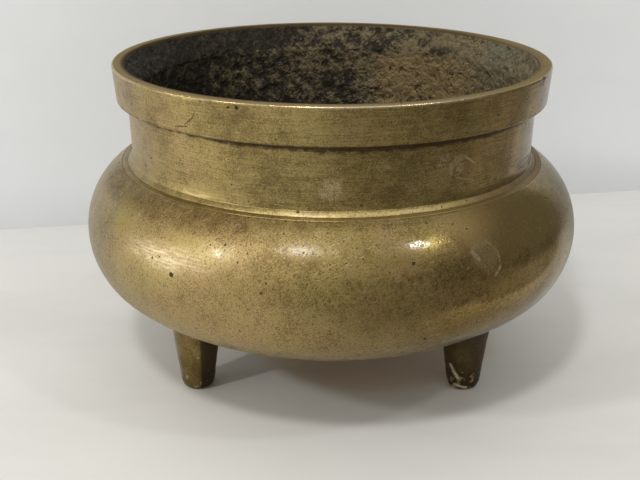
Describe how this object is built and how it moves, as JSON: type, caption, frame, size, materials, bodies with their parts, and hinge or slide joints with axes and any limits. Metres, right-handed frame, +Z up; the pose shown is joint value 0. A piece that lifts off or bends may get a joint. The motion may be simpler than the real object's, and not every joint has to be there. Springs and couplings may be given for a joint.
{
  "type": "incense burner",
  "caption": "Round-bellied brass incense burner on tapering legs, with a short neck and a heavy banded rim round its open mouth; holds ash and burning incense.",
  "frame": {"origin": "centre of the footprint, on the surface that the soles of the legs stand on", "axes": "+Z up along the vessel's axis; the front, between the two front legs, faces -Y"},
  "size_m": [0.1912, 0.1912, 0.1245],
  "materials": {
    "cast_brass": "aged, worn satin",
    "turned_brass": "aged, turned satin",
    "leg_brass": "dark patina",
    "washer_brass": "sooted"
  },
  "bodies": {
    "root": {"bowl": "cast_brass", "neck_collar": "turned_brass", "rim_band": "turned_brass", "front_left_leg": "leg_brass", "front_left_leg_washer": "washer_brass", "front_right_leg": "leg_brass", "front_right_leg_washer": "washer_brass", "rear_leg": "leg_brass", "rear_leg_washer": "washer_brass"}
  },
  "joints": []
}
